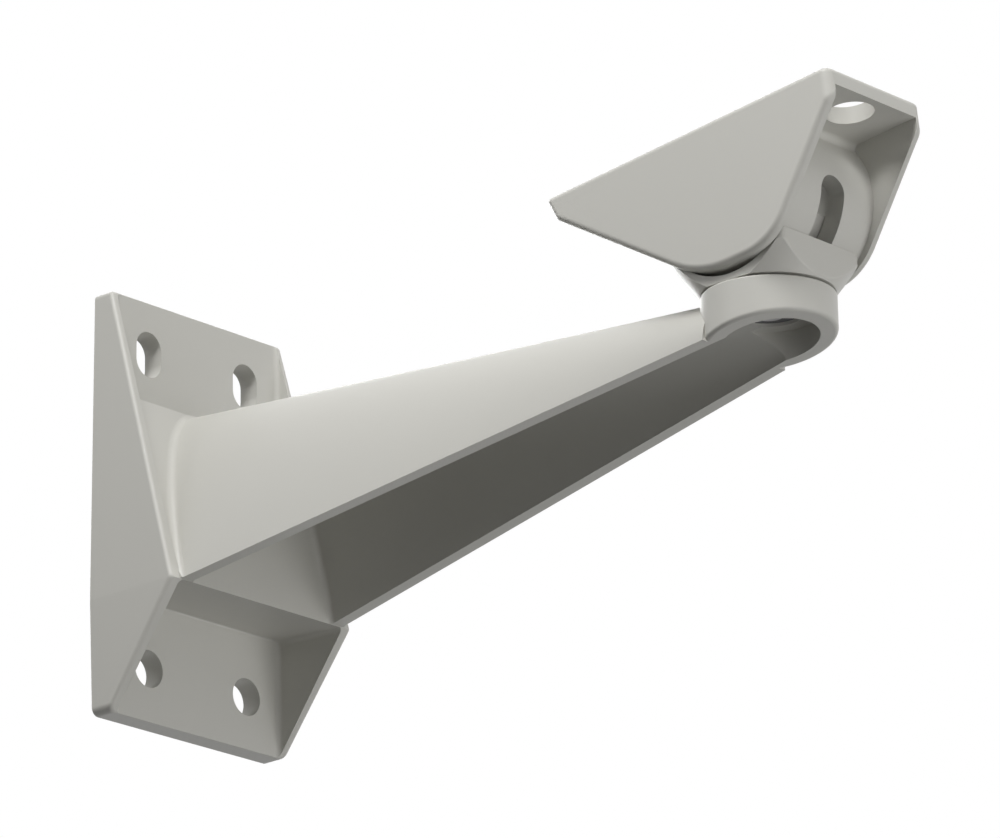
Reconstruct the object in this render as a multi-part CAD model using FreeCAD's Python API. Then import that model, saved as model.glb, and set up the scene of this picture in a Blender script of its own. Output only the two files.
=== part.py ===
import FreeCAD, Part
import math
import os

# Wall bracket for a camera housing: a hollow cast arm on a gusseted wall plate, a swivel knuckle
# that turns on the collar at the arm's end, and a tilting saddle that one bolt clamps to the knuckle.
# Millimetres. Origin: centre of the wall plate's back face. +X runs out along the arm, +Z is up.

# Wall plate and its two side gussets
PLATE_TOP = 56.9             # plate edge above the origin
PLATE_BOTTOM = -56.7         # plate edge below the origin
PLATE_THICK = 6.0
HALF_WIDTH_TOP = 31.4        # the side faces bulge a little between top and bottom
HALF_WIDTH_BELLY = 32.9
HALF_WIDTH_BOTTOM = 32.1
GUSSET_THICK = 3.2           # wall of a gusset at its deepest point
APEX_OUT = 29.2              # where the gusset ridges stand furthest from the wall
APEX_Z = -26.3
FOLD_Z = 29.5                # where the sloping face leaves the flat of the plate
CEILING_DROP = 1.2           # fall of the lower recess's ceiling towards its lip
TOP_CORNER_R = 1.3           # plate corners, seen from the front
BOTTOM_CORNER_R = 2.2
RIDGE_R = 1.1                # soft outer edges of the casting
RECESS_R = 1.4               # inside corners of the two recesses
CREASE_R = 0.5               # where a recess turns over the plate's face

# Wall holes
HOLE_SPACING_Y = 35.5
HOLE_SPACING_Z = 85.0
LOWER_HOLE_R = 5.0
SLOT_R = 4.5                 # half the width of an upper slot
SLOT_LENGTH = 12.4

# Arm: an arch section that tapers from the wall to the collar and is open below
ARM_REACH = 200.0            # wall to pan axis
ARM_HALF_AT_WALL = 32.05     # half width of the section, carried back to the wall
ARM_CROWN_AT_WALL = 29.6
ARM_CROWN_AT_AXIS = 12.3
ARM_FOOT_AT_WALL = -30.9
ARM_FOOT_AT_AXIS = 1.1
ARM_WALL = 3.8               # width of the rim round the open underside
ARM_ROOF = 4.2               # thickness under the crown
END_WALL = 3.4               # between the arm's hollow and the pocket in the back
ROOT_R = 2.0                 # where the arm grows out of the sloping face
BACK_RIB = 4.0               # rib that divides the pocket in the back
HOLLOW_R = 1.4               # inside corners of the arm's hollow

# Collar
COLLAR_R = 16.6
COLLAR_PROUD = 1.9           # how far it stands out past the arm's sides, carried on to the pan axis
COLLAR_TOP = 12.4
COLLAR_WEB = 4.6             # thickness of the floor that carries the knuckle
COLLAR_RIM = 4.4
COLLAR_EDGE_R = 0.5
COLLAR_FOOT_R = 1.0          # outer edge of the collar's open underside
COLLAR_ROOM = 1.5            # the arm's crown stops this far outside the collar's top

# Threaded steel bush in the collar
BUSH_FLANGE_R = 8.2
BUSH_FLANGE_THICK = 1.4
BUSH_SHANK_R = 6.2
BUSH_RECESS = 0.9            # how far the flange sits up inside the collar's floor
BUSH_SHY = 0.3               # gap between the bush and the knuckle above it

# Pivot bolt, M8
BOLT_R = 4.0
BOLT_LENGTH = 25.0
BOLT_HEAD_FLATS = 13.0
BOLT_HEAD_HEIGHT = 5.3
WASHER_R = 8.0
WASHER_THICK = 2.0
BOLT_HOLE_GAP = 0.3          # radial clearance of the holes that the bolt passes through

# Tilt axis, web and clamp
TILT_AXIS_Z = 36.0
TILT_REST = 6.2              # degrees that the saddle's nose points up
WEB_R = 21.1                 # outer radius of the saddle's curved web
WEB_THICK = 5.2
WEB_REAR_ANGLE = -150.0      # degrees from the saddle's forward direction
CURVE_GAP = 0.3             # between the web and the two faces that it slides on
SLOT_FRONT_ANGLE = -12.0     # centres of the ends of the curved slot
SLOT_REAR_ANGLE = -112.0
CLAMP_TOP_DROP = 5.5         # top of the clamp block below the tilt axis
CLAMP_HALF_WIDTH = 12.0

# Swivel knuckle
KNUCKLE_FRONT_STEP = 0.15    # how far its front face stands ahead of the collar's wall
KNUCKLE_REAR_STEP = 1.6      # the same behind the collar
KNUCKLE_FLARE = 37.0         # degrees from upright of its conical underside
KNUCKLE_LEDGE = 0.15         # its foot is a touch smaller than the collar
SEAM_HEIGHT = 0.6            # shadow groove above the collar
SEAM_DEPTH = 2.5
KNUCKLE_RIDGE_R = 1.0        # its front and rear ridges
KNUCKLE_EDGE_R = 2.0
CHEEK_GAP = 0.3              # between the knuckle and each cheek

# Tilt saddle, in its own frame: u forward along the top plate, v up from the tilt axis
SADDLE_HALF_WIDTH = 17.8
CHEEK_THICK = 2.5
SADDLE_TOP = 18.1
TOP_THICK = 4.5
NOSE_U = 36.9
NOSE_V = 10.7                # where the cheek's front edge leaves the nose
CHEEK_FOOT_V = -20.0
CHEEK_FOOT_FRONT_U = 13.6
CHEEK_FOOT_REAR_U = -9.4
TAIL_U = -54.2
TAIL_LOW_U = -51.4
TAIL_LOW_V = 11.5
TAIL_TIP_R = 0.8
TAIL_LOW_R = 1.5
FOOT_FRONT_R = 16.0
FOOT_REAR_R = 28.0
SADDLE_EDGE_R = 1.5
NOSE_CORNER_R = 4.0
NOSE_PLAN_R = 2.4            # nose corners, seen from above
POCKET_R = 1.4               # inside corners between plate, cheeks and web
HOUSING_HOLE_R = 6.0
HOUSING_HOLE_U = 28.8        # centres before and behind the tilt axis
SPANNER_HOLE_R = 9.5         # way through the top plate to the bolt's head


def vec(x, y, z):
    return FreeCAD.Vector(x, y, z)


def box(x0, x1, y0, y1, z0, z1):
    return Part.makeBox(x1 - x0, y1 - y0, z1 - z0, vec(x0, y0, z0))


def rounded_face(points, radii, place):
    """Face of a polygon with tangent arcs at its corners; place turns (a, b) into a 3-D point."""
    starts, ends, middles = [], [], []
    count = len(points)
    for i, (corner, radius) in enumerate(zip(points, radii)):
        before, after = points[i - 1], points[(i + 1) % count]
        to_before = unit(corner, before)
        to_after = unit(corner, after)
        half = math.acos(to_before[0] * to_after[0] + to_before[1] * to_after[1]) / 2
        cut = radius / math.tan(half)
        bisector = unit((0, 0), (to_before[0] + to_after[0], to_before[1] + to_after[1]))
        reach = radius / math.sin(half) - radius
        starts.append(step(corner, to_before, cut))
        middles.append(step(corner, bisector, reach))
        ends.append(step(corner, to_after, cut))
    edges = []
    for i in range(count):
        if radii[i] > 0:
            arc = Part.Arc(place(*starts[i]), place(*middles[i]), place(*ends[i]))
            edges.append(arc.toShape())
        following = (i + 1) % count
        edges.append(Part.LineSegment(place(*ends[i]), place(*starts[following])).toShape())
    return Part.Face(Part.Wire(edges))


def unit(start, end):
    run, rise = end[0] - start[0], end[1] - start[1]
    length = math.hypot(run, rise)
    return run / length, rise / length


def step(start, direction, distance):
    return start[0] + direction[0] * distance, start[1] + direction[1] * distance


def side_prism(points, half_width, radii=None):
    """Outline in the XZ plane, drawn out to both sides of the arm's centre plane."""
    face = rounded_face(points, radii or [0] * len(points), lambda x, z: vec(x, -half_width, z))
    return face.extrude(vec(0, 2 * half_width, 0))


def edges_where(shape, test):
    return [edge for edge in shape.Edges if test(edge)]


def ends_of(edge):
    return [vertex.Point for vertex in edge.Vertexes]


def along(start, end, t):
    return start + (end - start) * t


# Wall plate

def gusseted_plate():
    """The block that the plate and gussets are cut from: a side outline crossed with a front outline."""
    side = side_prism(
        [(0, PLATE_TOP), (PLATE_THICK, PLATE_TOP), (APEX_OUT, APEX_Z),
         (PLATE_THICK, PLATE_BOTTOM), (0, PLATE_BOTTOM)], 2 * HALF_WIDTH_BELLY)
    outline = [(HALF_WIDTH_TOP, PLATE_TOP), (HALF_WIDTH_BELLY, APEX_Z), (HALF_WIDTH_BOTTOM, PLATE_BOTTOM)]
    outline += [(-y, z) for y, z in reversed(outline)]
    radii = [TOP_CORNER_R, 0, BOTTOM_CORNER_R]
    front = rounded_face(outline, radii + radii[::-1], lambda y, z: vec(0, y, z))
    block = side.common(front.extrude(vec(2 * APEX_OUT, 0, 0)))
    outer = edges_where(block, is_front_edge)
    return block.makeFillet(RIDGE_R, outer)


def is_front_edge(edge):
    points = ends_of(edge)
    across_apex = all(p.x > APEX_OUT - 0.01 for p in points)
    return all(p.x > PLATE_THICK - 0.01 for p in points) and not across_apex


def inner_half_width():
    return HALF_WIDTH_BELLY - GUSSET_THICK


def upper_recess():
    """Clears the plate's upper face down to the slope that the arm grows from."""
    half = inner_half_width()
    high, out = 2 * PLATE_TOP, 3 * APEX_OUT
    slope = (APEX_OUT - PLATE_THICK) / (FOLD_Z - APEX_Z)
    far_z = APEX_Z - (out - APEX_OUT) / slope
    tool = side_prism([(PLATE_THICK, high), (PLATE_THICK, FOLD_Z), (out, far_z), (out, high)], half)
    return soften_recess(tool, half)


def lower_recess():
    half = inner_half_width()
    low, out = 2 * PLATE_BOTTOM, 3 * APEX_OUT
    drop = CEILING_DROP / (APEX_OUT - PLATE_THICK)
    inner_z = APEX_Z + CEILING_DROP
    outer_z = inner_z - drop * (out - PLATE_THICK)
    tool = side_prism([(PLATE_THICK, low), (PLATE_THICK, inner_z), (out, outer_z), (out, low)], half)
    return soften_recess(tool, half)


def soften_recess(tool, half):
    """Rounds the tool's long edges, then the crease between its two faces."""
    tool = tool.makeFillet(RECESS_R, edges_where(tool, touches_crease(half, False)))
    return tool.makeFillet(CREASE_R, edges_where(tool, touches_crease(half, True)))


def touches_crease(half, across):
    def test(edge):
        points = ends_of(edge)
        crosses = abs(points[0].y - points[-1].y) > half
        if not any(near_crease(p) for p in points):
            return False
        return crosses == across
    return test


def near_crease(point):
    level = min(abs(point.z - FOLD_Z), abs(point.z - APEX_Z - CEILING_DROP))
    return point.x < PLATE_THICK + 0.01 and level < 0.01


def wall_holes():
    tools = []
    y, z = HOLE_SPACING_Y / 2, HOLE_SPACING_Z / 2
    deep = 2 * PLATE_THICK
    for side in (-y, y):
        tools.append(Part.makeCylinder(LOWER_HOLE_R, deep, vec(-1, side, -z), vec(1, 0, 0)))
        half = SLOT_LENGTH / 2 - SLOT_R
        for end in (z - half, z + half):
            tools.append(Part.makeCylinder(SLOT_R, deep, vec(-1, side, end), vec(1, 0, 0)))
        tools.append(box(-1, deep - 1, side - SLOT_R, side + SLOT_R, z - half, z + half))
    return tools


# Arm

def arm_size(x):
    """Half width, foot and crown of the arm's section at a distance from the wall."""
    t = x / ARM_REACH
    half = along(ARM_HALF_AT_WALL, COLLAR_R - COLLAR_PROUD, t)
    foot = ARM_FOOT_AT_WALL + (ARM_FOOT_AT_AXIS - ARM_FOOT_AT_WALL) * t
    crown = ARM_CROWN_AT_WALL + (ARM_CROWN_AT_AXIS - ARM_CROWN_AT_WALL) * t
    return half, foot, crown


def arch_section(x, wall, roof, foot_z):
    """Closed arch: pointed near the wall, rounder near the collar, flat at the foot."""
    half, foot, crown = arm_size(x)
    half -= wall
    crown -= roof
    high = crown - foot
    t = x / ARM_REACH
    lean = half * (1 - (1 - t) / 3)
    shoulder = foot + high * (2 / 3 - t / 9)
    top = half * (1 / 3 + 0.22 * t)
    right = Part.BezierCurve()
    right.setPoles([vec(x, half, foot), vec(x, lean, shoulder), vec(x, top, crown), vec(x, 0, crown)])
    left = Part.BezierCurve()
    left.setPoles([vec(x, 0, crown), vec(x, -top, crown), vec(x, -lean, shoulder), vec(x, -half, foot)])
    low = foot_z(foot)
    edges = [right.toShape(), left.toShape()]
    corners = [vec(x, -half, foot), vec(x, -half, low), vec(x, half, low), vec(x, half, foot)]
    for start, end in zip(corners, corners[1:]):
        if start.distanceToPoint(end) > 1e-6:
            edges.append(Part.LineSegment(start, end).toShape())
    return Part.Wire(edges)


def arch_loft(x0, x1, wall, roof, below):
    sections = [arch_section(x, wall, roof, lambda foot: foot - below) for x in (x0, x1)]
    return Part.makeLoft(sections, True, True)


def arm_outside():
    """The arm and the sloping face that it grows from, with the soft root between them."""
    arm = arch_loft(-PLATE_THICK, ARM_REACH - COLLAR_R / 2, 0, 0, PLATE_THICK)
    rise = (FOLD_Z - APEX_Z) / (APEX_OUT - PLATE_THICK)
    deep = 2 * PLATE_THICK
    foot_z = APEX_Z - deep
    foot_x = APEX_OUT + deep / rise
    top_z = APEX_Z + (APEX_OUT + deep) * rise
    ramp = side_prism([(-deep, top_z), (foot_x, foot_z), (-deep, foot_z)], 2 * HALF_WIDTH_BELLY)
    rooted = ramp.fuse(arm)
    root = edges_where(rooted, is_root_edge)
    rooted = rooted.makeFillet(ROOT_R, root)
    half = inner_half_width() + 0.01
    inside = side_prism([(PLATE_THICK / 2, 2 * PLATE_TOP), (ARM_REACH, 2 * PLATE_TOP),
                         (ARM_REACH, APEX_Z), (PLATE_THICK / 2, APEX_Z)], half)
    return rooted.common(inside)


def is_root_edge(edge):
    """Edges where the arm's side meets the sloping face."""
    rise = (FOLD_Z - APEX_Z) / (APEX_OUT - PLATE_THICK)
    points = edge.discretize(5)
    on_slope = all(abs(p.z - APEX_Z - (APEX_OUT - p.x) * rise) < 0.01 for p in points)
    middle = edge.CenterOfMass
    return on_slope and 1 < abs(middle.y) < HALF_WIDTH_BELLY


def arm_hollow():
    """The open channel under the arm, ending short of the collar's floor."""
    end = ARM_REACH
    channel = arch_loft(APEX_OUT - 0.2, end, ARM_WALL, ARM_ROOF, ARM_WALL)
    upright = edges_where(channel, lambda e: all(p.x < APEX_OUT for p in ends_of(e)) and arch_edge(e))
    return channel.makeFillet(HOLLOW_R, upright)


def arch_edge(edge):
    return edge.Curve.TypeId in ("Part::GeomBezierCurve", "Part::GeomBSplineCurve")


def back_pocket():
    """The core that keeps the casting's root hollow, open to the wall."""
    depth = APEX_OUT - END_WALL
    pocket = arch_loft(-1, depth, ARM_WALL, ARM_ROOF, 0)
    floor_z = APEX_Z + CEILING_DROP + END_WALL
    far = HALF_WIDTH_BELLY
    left = box(-2, depth + 1, -far, -BACK_RIB / 2, floor_z, PLATE_TOP)
    right = box(-2, depth + 1, BACK_RIB / 2, far, floor_z, PLATE_TOP)
    return pocket.common(left.fuse(right))


# Collar

def collar():
    top = Part.makeCylinder(COLLAR_R, COLLAR_TOP - ARM_FOOT_AT_WALL, vec(ARM_REACH, 0, ARM_FOOT_AT_WALL))
    rim = edges_where(top, lambda e: all(abs(p.z - COLLAR_TOP) < 0.01 for p in ends_of(e)) and is_round(e))
    return top.makeFillet(COLLAR_EDGE_R, rim)


def is_round(edge):
    return edge.Curve.TypeId == "Part::GeomCircle"


def below_foot():
    """Everything under the sloping plane of the arm's open underside."""
    far = ARM_REACH + 2 * COLLAR_R
    _, foot_start, _ = arm_size(APEX_OUT)
    _, foot_end, _ = arm_size(far)
    low = 2 * PLATE_BOTTOM
    return side_prism([(APEX_OUT, foot_start), (far, foot_end), (far, low), (APEX_OUT, low)], 2 * COLLAR_R)


def collar_hollow():
    """Round room under the collar's floor; the arm's channel runs into it."""
    ceiling = COLLAR_TOP - COLLAR_WEB
    deep = ceiling - ARM_FOOT_AT_WALL
    inner = COLLAR_R - COLLAR_RIM
    return Part.makeCylinder(inner, deep, vec(ARM_REACH, 0, ARM_FOOT_AT_WALL))


def bush_seat():
    flange_z = COLLAR_TOP - COLLAR_WEB + BUSH_RECESS
    shank = Part.makeCylinder(BUSH_SHANK_R, COLLAR_TOP, vec(ARM_REACH, 0, flange_z))
    flange_high = BUSH_RECESS + BUSH_FLANGE_THICK
    flange = Part.makeCylinder(BUSH_FLANGE_R, flange_high, vec(ARM_REACH, 0, flange_z - BUSH_RECESS))
    return shank.fuse(flange)


def arm_and_collar():
    clear_above = Part.makeCylinder(COLLAR_R + COLLAR_ROOM, 2 * COLLAR_TOP, vec(ARM_REACH, 0, COLLAR_TOP))
    arm = arm_outside().cut(clear_above).fuse(collar()).cut(below_foot())
    rim = edges_where(arm, is_collar_foot)
    return arm.makeFillet(COLLAR_FOOT_R, rim)


def is_collar_foot(edge):
    """The collar's outer edge in the sloping plane of the underside."""
    far = [p for p in edge.discretize(5)]
    on_wall = all(abs(math.hypot(p.x - ARM_REACH, p.y) - COLLAR_R) < 0.01 for p in far)
    low = all(p.z < COLLAR_TOP - COLLAR_EDGE_R - 0.01 for p in far)
    level = all(abs(p.z - arm_size(p.x)[1]) < 0.01 for p in far)
    return on_wall and low and level


def wall_bracket():
    base = gusseted_plate().cut(upper_recess())
    body = base.fuse(arm_and_collar())
    body = body.cut([lower_recess(), arm_hollow(), collar_hollow(), back_pocket(), bush_seat()])
    body = body.cut(wall_holes())
    return body.removeSplitter()


def thread_bush():
    low = COLLAR_TOP - COLLAR_WEB + BUSH_RECESS
    flange = Part.makeCylinder(BUSH_FLANGE_R, BUSH_FLANGE_THICK, vec(ARM_REACH, 0, low))
    high = COLLAR_TOP - BUSH_SHY - low
    shank = Part.makeCylinder(BUSH_SHANK_R, high, vec(ARM_REACH, 0, low))
    bore = Part.makeCylinder(BOLT_R, 2 * high, vec(ARM_REACH, 0, low - high / 2))
    return flange.fuse(shank).cut(bore).removeSplitter()


# Swivel knuckle

def clearance_bore():
    reach = 2 * TILT_AXIS_Z
    return Part.makeCylinder(BOLT_R + BOLT_HOLE_GAP, reach, vec(ARM_REACH, 0, 0))


def tilt_cylinder(radius, half_width):
    start = vec(ARM_REACH, -half_width, TILT_AXIS_Z)
    return Part.makeCylinder(radius, 2 * half_width, start, vec(0, 1, 0))


def knuckle_ends():
    """Places of its front and rear faces along the arm."""
    return ARM_REACH + COLLAR_R + KNUCKLE_FRONT_STEP, ARM_REACH - COLLAR_R - KNUCKLE_REAR_STEP


def swivel_knuckle():
    half = SADDLE_HALF_WIDTH - CHEEK_THICK - CHEEK_GAP
    cone_z = COLLAR_TOP + SEAM_HEIGHT
    high = TILT_AXIS_Z - cone_z
    top_r = COLLAR_R + high * math.tan(math.radians(KNUCKLE_FLARE))
    cone = Part.makeCone(COLLAR_R - KNUCKLE_LEDGE, top_r, high, vec(ARM_REACH, 0, cone_z))
    front, rear = knuckle_ends()
    head = cone.common(box(rear, front, -top_r, top_r, cone_z, TILT_AXIS_Z))
    head = head.makeFillet(KNUCKLE_RIDGE_R, edges_where(head, lambda e: is_ridge(e, cone_z)))
    core = box(rear, front, -half, half, cone_z - high, TILT_AXIS_Z)
    upright = edges_where(core, lambda e: abs(ends_of(e)[0].z - ends_of(e)[1].z) > high / 2)
    core = core.makeFillet(KNUCKLE_EDGE_R, upright)
    land = Part.makeCylinder(COLLAR_R - SEAM_DEPTH, SEAM_HEIGHT + 0.01, vec(ARM_REACH, 0, COLLAR_TOP))
    seat = tilt_cylinder(WEB_R + CURVE_GAP, 2 * half)
    return head.common(core).fuse(land).cut([seat, clearance_bore()]).removeSplitter()


def is_ridge(edge, cone_z):
    """Curved edges where the cone meets the upright front and rear faces."""
    points = edge.discretize(3)
    flat = min(abs(points[1].x - x) for x in knuckle_ends()) < 0.01
    return flat and cone_z + 0.01 < points[1].z < TILT_AXIS_Z - 0.01


# Tilt saddle

def in_saddle(u, y, v):
    """A point of the saddle's own frame, turned to the rest tilt and moved to the tilt axis."""
    angle = math.radians(TILT_REST)
    x = ARM_REACH + u * math.cos(angle) - v * math.sin(angle)
    z = TILT_AXIS_Z + u * math.sin(angle) + v * math.cos(angle)
    return vec(x, y, z)


def saddle_blank():
    """The saddle's side outline drawn out to its full width, with soft edges."""
    outline = [
        (TAIL_U, SADDLE_TOP), (TAIL_LOW_U, TAIL_LOW_V), (CHEEK_FOOT_REAR_U, CHEEK_FOOT_V),
        (CHEEK_FOOT_FRONT_U, CHEEK_FOOT_V), (NOSE_U, NOSE_V), (NOSE_U, SADDLE_TOP)]
    radii = [TAIL_TIP_R, TAIL_LOW_R, FOOT_REAR_R, FOOT_FRONT_R, NOSE_CORNER_R, 0]
    half = SADDLE_HALF_WIDTH
    face = rounded_face(outline, radii, lambda u, v: vec(u, -half, v))
    blank = face.extrude(vec(0, 2 * half, 0))
    plan = [(-2 * NOSE_U, -half), (NOSE_U, -half), (NOSE_U, half), (-2 * NOSE_U, half)]
    radii = [0, NOSE_PLAN_R, NOSE_PLAN_R, 0]
    plan_face = rounded_face(plan, radii, lambda u, y: vec(u, y, -2 * NOSE_U))
    blank = blank.common(plan_face.extrude(vec(0, 0, 4 * NOSE_U)))
    return blank.makeFillet(SADDLE_EDGE_R, edges_where(blank, is_cheek_rim))


def is_cheek_rim(edge):
    """Outline edges of the two side faces, without the seams beside the rounded nose."""
    on_side = abs(abs(edge.CenterOfMass.y) - SADDLE_HALF_WIDTH) < 0.01
    at_nose = all(abs(p.x - NOSE_U + NOSE_PLAN_R) < 0.01 for p in ends_of(edge))
    return on_side and not at_nose


def flat_cylinder(radius, half_width):
    return Part.makeCylinder(radius, 2 * half_width, vec(0, -half_width, 0), vec(0, 1, 0))


def pockets():
    """Space between the cheeks, outside the curved web and in its hollow."""
    half = SADDLE_HALF_WIDTH - CHEEK_THICK
    under = SADDLE_TOP - TOP_THICK
    far = 2 * abs(TAIL_U)
    room = box(-far, far, -half, half, -far, under)
    outside = room.cut(flat_cylinder(WEB_R, 2 * half))
    inner = WEB_R - WEB_THICK
    rear_angle = math.radians(WEB_REAR_ANGLE)
    reach = 2 * far
    sweep = Part.Face(Part.makePolygon([
        vec(0, -half, 0), vec(reach * math.cos(rear_angle), -half, reach * math.sin(rear_angle)),
        vec(-reach, -half, 0), vec(-reach, -half, under), vec(0, -half, under), vec(0, -half, 0)]))
    behind = sweep.extrude(vec(0, 2 * half, 0)).common(room)
    bowl = flat_cylinder(inner, half).common(room)
    rear = behind.fuse(bowl).removeSplitter()
    outside = outside.makeFillet(POCKET_R, edges_where(outside, is_front_corner))
    return [outside, rear]


def is_front_corner(edge):
    """Corners of the front pocket along the plate's underside."""
    under = SADDLE_TOP - TOP_THICK
    return all(abs(p.z - under) < 0.01 and 0 < p.x < 2 * NOSE_U for p in ends_of(edge))


def curved_slot():
    """Slot through the web for the pivot bolt, following the web round the tilt axis."""
    half = BOLT_R + BOLT_HOLE_GAP
    deep = 3 * WEB_THICK
    inner = WEB_R - 2 * WEB_THICK
    ring = flat_cylinder(inner + deep, half).cut(flat_cylinder(inner, 2 * half))
    far = 3 * WEB_R
    start, end = math.radians(SLOT_REAR_ANGLE), math.radians(SLOT_FRONT_ANGLE)
    middle = (start + end) / 2
    points = [vec(0, -half, 0)]
    for angle in (start, (start + middle) / 2, middle, (middle + end) / 2, end):
        points.append(vec(far * math.cos(angle), -half, far * math.sin(angle)))
    points.append(points[0])
    sector = Part.Face(Part.makePolygon(points)).extrude(vec(0, 2 * half, 0))
    slot = ring.common(sector)
    for angle in (start, end):
        direction = vec(math.cos(angle), 0, math.sin(angle))
        slot = slot.fuse(Part.makeCylinder(half, deep, direction * inner, direction))
    return slot


def housing_holes():
    low = SADDLE_TOP - 2 * TOP_THICK
    return [Part.makeCylinder(HOUSING_HOLE_R, 3 * TOP_THICK, vec(u, 0, low))
            for u in (HOUSING_HOLE_U, -HOUSING_HOLE_U)]


def spanner_hole():
    return Part.makeCylinder(SPANNER_HOLE_R, 3 * TOP_THICK, vec(0, 0, SADDLE_TOP - 2 * TOP_THICK))


def tilt_saddle():
    saddle = saddle_blank().cut(pockets() + [curved_slot(), spanner_hole()] + housing_holes())
    saddle = saddle.removeSplitter()
    saddle.rotate(vec(0, 0, 0), vec(0, 1, 0), -TILT_REST)
    saddle.translate(vec(ARM_REACH, 0, TILT_AXIS_Z))
    return saddle


# Clamp and bolt

def clamp_top():
    return TILT_AXIS_Z - CLAMP_TOP_DROP


def clamp_block():
    """Half-round block that lies in the web's hollow and spreads the bolt's load."""
    radius = WEB_R - WEB_THICK - CURVE_GAP
    half = CLAMP_HALF_WIDTH
    log = tilt_cylinder(radius, half)
    keep = box(ARM_REACH - radius, ARM_REACH + radius, -half, half, TILT_AXIS_Z - radius, clamp_top())
    return log.common(keep).cut(clearance_bore()).removeSplitter()


def pivot_washer():
    washer = Part.makeCylinder(WASHER_R, WASHER_THICK, vec(ARM_REACH, 0, clamp_top()))
    return washer.cut(clearance_bore())


def pivot_bolt():
    seat = clamp_top() + WASHER_THICK
    corner = BOLT_HEAD_FLATS / math.sqrt(3)
    points = []
    for i in range(7):
        angle = math.radians(60 * i)
        points.append(vec(ARM_REACH + corner * math.cos(angle), corner * math.sin(angle), seat))
    head = Part.Face(Part.makePolygon(points)).extrude(vec(0, 0, BOLT_HEAD_HEIGHT))
    bevel_r = corner + BOLT_HEAD_HEIGHT / 4
    slope = bevel_r - BOLT_HEAD_FLATS / 2 + 0.2
    dome = Part.makeCone(bevel_r + BOLT_HEAD_HEIGHT, bevel_r - slope, BOLT_HEAD_HEIGHT,
                         vec(ARM_REACH, 0, seat))
    shank = Part.makeCylinder(BOLT_R, BOLT_LENGTH, vec(ARM_REACH, 0, seat - BOLT_LENGTH))
    tip = edges_where(shank, lambda e: is_round(e) and e.CenterOfMass.z < seat - BOLT_LENGTH / 2)
    shank = shank.makeChamfer(BOLT_R / 6, tip)
    return head.common(dome).fuse(shank).removeSplitter()


NODES = {
    "wall_bracket": wall_bracket,
    "thread_bush": thread_bush,
    "swivel_knuckle": swivel_knuckle,
    "tilt_saddle": tilt_saddle,
    "clamp_block": clamp_block,
    "pivot_washer": pivot_washer,
    "pivot_bolt": pivot_bolt,
}

os.makedirs("parts", exist_ok=True)
for name, make in NODES.items():
    shape = make()
    print(name, shape.isValid(), len(shape.Solids), round(shape.Volume, 1))
    shape.exportStep("parts/" + name + ".step")
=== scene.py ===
import math

import bpy
from mathutils import Matrix, Vector

# Camera, matched to the photograph: where it stands round the bracket and how far it is
CAMERA_AZIMUTH = math.radians(42.025)
CAMERA_ELEVATION = math.radians(-19.152)
CAMERA_ROLL = math.radians(-1.051)
CAMERA_DISTANCE = 1.73377
CAMERA_ACROSS = 0.082715
CAMERA_UP = 0.029048
CAMERA_NEAR = 0.05
CAMERA_FAR = 50.0
LENS_MM = 240.566
SENSOR_MM = 36.0

# Sky: its level overhead, at the horizon and below, and its blue against its red and green
SKY_TOP = 0.4
SKY_SIDE = 0.08
SKY_BOTTOM = 0.08
SKY_BLUE = 0.99

# Floor: how far below the bracket and how far to each side, its tone for the light that
# bounces off it, and its share of plain white where it is seen
FLOOR_DROP = 2.0
FLOOR_REACH = 20.0
FLOOR_TONE = 0.2
FLOOR_WHITE = 0.85
WHITE = (1.0, 1.0, 1.0, 1.0)

# Lamps: name, place, what each is aimed at, width in metres and power in watts
MID_ARM = (0.1, 0.0, 0.0)
ARM_END = (0.17, 0.0, 0.02)
LAMPS = (
    ("light_far_left", (-0.6, -1.8, 1.0), MID_ARM, 1.0, 5.0),
    ("light_low_front", (1.7, 0.25, -0.75), MID_ARM, 1.8, 13.5),
    ("light_front_left", (1.6, -1.2, 0.2), MID_ARM, 1.2, 2.0),
    ("light_front_right", (1.8, 0.7, -0.3), MID_ARM, 1.4, 4.4),
    ("light_near_left", (0.30, -0.45, 0.65), ARM_END, 0.35, 5.4),
    ("light_behind", (-1.5, 1.1, 0.6), MID_ARM, 1.2, 14.0),
)

# Powder coat: how far its shade and gloss wander, and the size and depth of its orange peel
COAT_TONE = (0.557, 0.55, 0.512)
CLAMP_TONE = (0.497, 0.49, 0.457)
COAT_DARKEST = 0.965
COAT_ROUGHNESS = 0.4
COAT_ROUGHNESS_DRIFT = 0.04
COAT_IOR = 1.45
DRIFT_SCALE = 14.0
PEEL_SIZE = 0.0007
PEEL_STRENGTH = 0.06
PEEL_DEPTH = 0.0001

# Steel: tones, roughness and the fine marks that make it smoother or rougher
PLATED_TONE = (0.55, 0.55, 0.56)
PLATED_ROUGHNESS = 0.35
DULL_TONE = (0.16, 0.16, 0.165)
DULL_ROUGHNESS = 0.5
MARKS_SCALE = 900.0
MARKS_SMOOTHER = 0.08
MARKS_ROUGHER = 0.10

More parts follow.
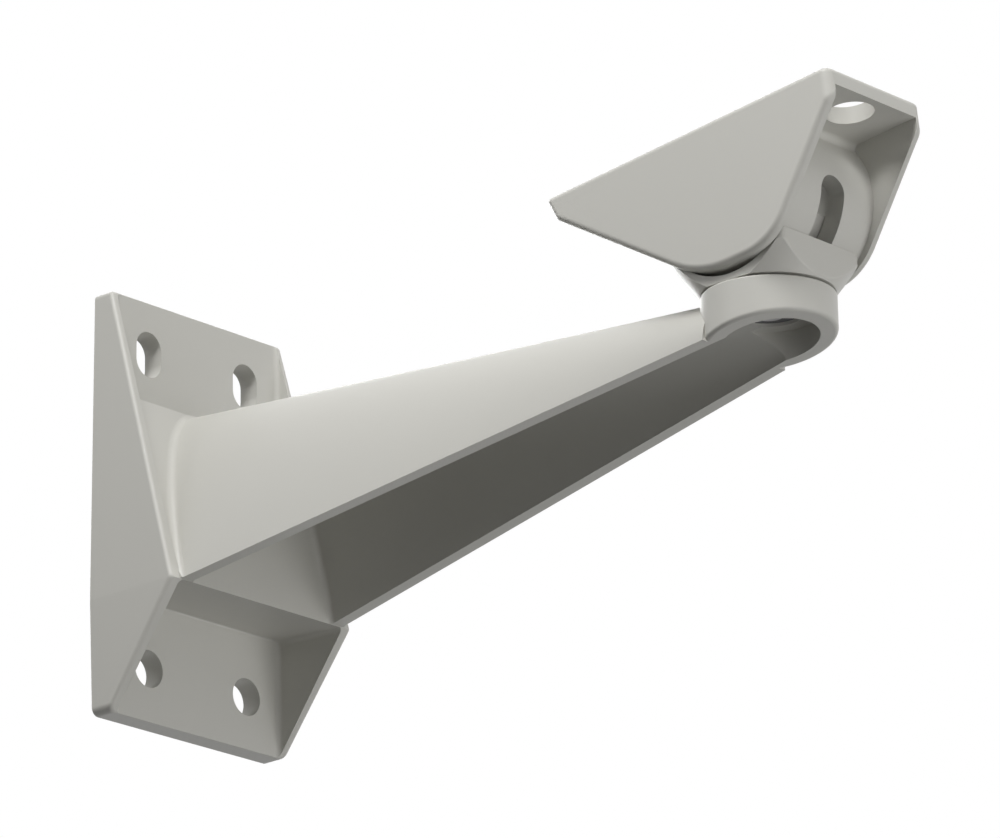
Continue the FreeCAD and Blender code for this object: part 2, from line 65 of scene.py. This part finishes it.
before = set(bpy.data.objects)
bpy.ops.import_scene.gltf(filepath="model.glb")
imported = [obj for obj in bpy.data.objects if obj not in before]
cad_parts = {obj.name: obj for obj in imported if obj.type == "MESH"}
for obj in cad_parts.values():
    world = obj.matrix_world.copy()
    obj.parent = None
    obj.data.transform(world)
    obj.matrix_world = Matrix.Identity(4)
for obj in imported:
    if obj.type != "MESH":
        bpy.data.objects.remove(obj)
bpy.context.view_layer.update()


def place_camera():
    az, el, roll = CAMERA_AZIMUTH, CAMERA_ELEVATION, CAMERA_ROLL
    back = Vector((math.sin(az) * math.cos(el), -math.cos(az) * math.cos(el), math.sin(el)))
    level = Vector((math.cos(az), math.sin(az), 0.0))
    upright = back.cross(level)
    right = level * math.cos(roll) + upright * math.sin(roll)
    up = upright * math.cos(roll) - level * math.sin(roll)
    place = right * CAMERA_ACROSS + up * CAMERA_UP + back * CAMERA_DISTANCE
    data = bpy.data.cameras.new("photo_camera")
    data.lens = LENS_MM
    data.sensor_fit = "HORIZONTAL"
    data.sensor_width = SENSOR_MM
    data.clip_start = CAMERA_NEAR
    data.clip_end = CAMERA_FAR
    camera = bpy.data.objects.new("photo_camera", data)
    camera.matrix_world = Matrix.Translation(place) @ Matrix((right, up, back)).transposed().to_4x4()
    bpy.context.scene.collection.objects.link(camera)
    bpy.context.scene.camera = camera


class Nodes:
    """Short way to add and join shader nodes."""

    def __init__(self, tree):
        self.tree = tree
        tree.nodes.clear()

    def add(self, kind, **values):
        node = self.tree.nodes.new(kind)
        for key, value in values.items():
            if key in node.inputs:
                node.inputs[key].default_value = value
            else:
                setattr(node, key, value)
        return node

    def join(self, source, target):
        self.tree.links.new(source, target)


def new_material(name):
    """A material with an empty node tree, and the short way to fill it."""
    material = bpy.data.materials.new(name)
    material.use_nodes = True
    return material, Nodes(material.node_tree)


def shown_white(n, shader, white, share):
    """Mix in this share of white for the rays that show a background: seen, mirrored or let through."""
    path = n.add("ShaderNodeLightPath")
    shown = path.outputs["Is Camera Ray"]
    for ray in ("Is Glossy Ray", "Is Transmission Ray"):
        either = n.add("ShaderNodeMath", operation="MAXIMUM")
        n.join(shown, either.inputs[0])
        n.join(path.outputs[ray], either.inputs[1])
        shown = either.outputs[0]
    part = n.add("ShaderNodeMath", operation="MULTIPLY")
    n.join(shown, part.inputs[0])
    part.inputs[1].default_value = share
    mix = n.add("ShaderNodeMixShader")
    n.join(part.outputs[0], mix.inputs[0])
    n.join(shader.outputs[0], mix.inputs[1])
    n.join(white.outputs[0], mix.inputs[2])
    return mix.outputs[0]


def world_light():
    """White behind the bracket and in its gloss; a soft sky, brighter above, lights it."""
    world = bpy.data.worlds.new("studio")
    bpy.context.scene.world = world
    world.use_nodes = True
    n = Nodes(world.node_tree)
    coords = n.add("ShaderNodeTexCoord")
    split = n.add("ShaderNodeSeparateXYZ")
    n.join(coords.outputs["Generated"], split.inputs[0])
    ramp = n.add("ShaderNodeValToRGB")
    ramp.color_ramp.interpolation = "EASE"
    stops = ramp.color_ramp.elements
    stops.new(0.5)
    for stop, level in zip(stops, (SKY_BOTTOM, SKY_SIDE, SKY_TOP)):
        stop.color = (level, level, level * SKY_BLUE, 1.0)
    height = n.add("ShaderNodeMapRange", **{"From Min": -1.0, "From Max": 1.0})
    n.join(split.outputs["Z"], height.inputs["Value"])
    n.join(height.outputs["Result"], ramp.inputs["Fac"])
    sky = n.add("ShaderNodeBackground", Strength=1.0)
    n.join(ramp.outputs["Color"], sky.inputs["Color"])
    white = n.add("ShaderNodeBackground", Color=WHITE, Strength=1.0)
    out = n.add("ShaderNodeOutputWorld")
    n.join(shown_white(n, sky, white, 1.0), out.inputs["Surface"])


def pale_floor():
    """A floor below the bracket, close to white where it is seen as background."""
    material, n = new_material("pale_floor")
    dull = n.add("ShaderNodeBsdfDiffuse", Color=(FLOOR_TONE, FLOOR_TONE, FLOOR_TONE, 1.0))
    white = n.add("ShaderNodeEmission", Color=WHITE, Strength=1.0)
    out = n.add("ShaderNodeOutputMaterial")
    n.join(shown_white(n, dull, white, FLOOR_WHITE), out.inputs["Surface"])
    reach = FLOOR_REACH
    corners = [(x, y, -FLOOR_DROP) for x, y in
               ((-reach, -reach), (reach, -reach), (reach, reach), (-reach, reach))]
    mesh = bpy.data.meshes.new("pale_floor")
    mesh.from_pydata(corners, [], [(0, 1, 2, 3)])
    mesh.materials.append(material)
    floor = bpy.data.objects.new("pale_floor", mesh)
    bpy.context.scene.collection.objects.link(floor)


def area_light(name, place, target, size, power):
    data = bpy.data.lights.new(name, "AREA")
    data.shape = "DISK"
    data.size = size
    data.energy = power
    light = bpy.data.objects.new(name, data)
    place, target = Vector(place), Vector(target)
    light.rotation_euler = (target - place).to_track_quat("-Z", "Y").to_euler()
    light.location = place
    bpy.context.scene.collection.objects.link(light)


def uneven_gloss(n, pattern, smoothest, roughest):
    """Roughness that follows a pattern between two values."""
    gloss = n.add("ShaderNodeMapRange", **{"To Min": smoothest, "To Max": roughest})
    n.join(pattern.outputs[0], gloss.inputs["Value"])
    return gloss.outputs["Result"]


def paint(name, tone):
    """Satin powder coat: near-flat colour, a faint orange-peel surface, slightly uneven gloss."""
    material, n = new_material(name)
    coords = n.add("ShaderNodeTexCoord")
    drift = n.add("ShaderNodeTexNoise", Scale=DRIFT_SCALE, Detail=3.0, Roughness=0.5)
    n.join(coords.outputs["Object"], drift.inputs["Vector"])
    shade = n.add("ShaderNodeMix", data_type="RGBA")
    darker = tuple(c * COAT_DARKEST for c in tone)
    shade.inputs[6].default_value = darker + (1.0,)
    shade.inputs[7].default_value = tone + (1.0,)
    n.join(drift.outputs[0], shade.inputs[0])
    peel = n.add("ShaderNodeTexNoise", Scale=1.0 / PEEL_SIZE, Detail=2.0, Roughness=0.6)
    n.join(coords.outputs["Object"], peel.inputs["Vector"])
    bump = n.add("ShaderNodeBump", Strength=PEEL_STRENGTH, Distance=PEEL_DEPTH)
    n.join(peel.outputs[0], bump.inputs["Height"])
    roughness = uneven_gloss(n, drift, COAT_ROUGHNESS - COAT_ROUGHNESS_DRIFT,
                             COAT_ROUGHNESS + COAT_ROUGHNESS_DRIFT)
    surface = n.add("ShaderNodeBsdfPrincipled", Metallic=0.0, IOR=COAT_IOR)
    n.join(shade.outputs[2], surface.inputs["Base Color"])
    n.join(roughness, surface.inputs["Roughness"])
    n.join(bump.outputs["Normal"], surface.inputs["Normal"])
    out = n.add("ShaderNodeOutputMaterial")
    n.join(surface.outputs[0], out.inputs["Surface"])
    return material


def steel(name, tone, roughness):
    """Steel with fine turning marks in its gloss."""
    material, n = new_material(name)
    coords = n.add("ShaderNodeTexCoord")
    marks = n.add("ShaderNodeTexNoise", Scale=MARKS_SCALE, Detail=3.0, Roughness=0.6)
    n.join(coords.outputs["Object"], marks.inputs["Vector"])
    marked = uneven_gloss(n, marks, roughness - MARKS_SMOOTHER, roughness + MARKS_ROUGHER)
    surface = n.add("ShaderNodeBsdfPrincipled", Metallic=1.0)
    surface.inputs["Base Color"].default_value = tone + (1.0,)
    n.join(marked, surface.inputs["Roughness"])
    out = n.add("ShaderNodeOutputMaterial")
    n.join(surface.outputs[0], out.inputs["Surface"])
    return material


def dress(material, *nodes):
    for node in nodes:
        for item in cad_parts[node].material_slots:
            item.material = material


place_camera()
world_light()
pale_floor()
for lamp in LAMPS:
    area_light(*lamp)

bpy.context.scene.view_settings.view_transform = "Standard"

dress(paint("coat", COAT_TONE), "wall_bracket", "swivel_knuckle", "tilt_saddle")
dress(paint("clamp_coat", CLAMP_TONE), "clamp_block")
dress(steel("plated", PLATED_TONE, PLATED_ROUGHNESS), "pivot_bolt", "pivot_washer")
dress(steel("dull_steel", DULL_TONE, DULL_ROUGHNESS), "thread_bush")
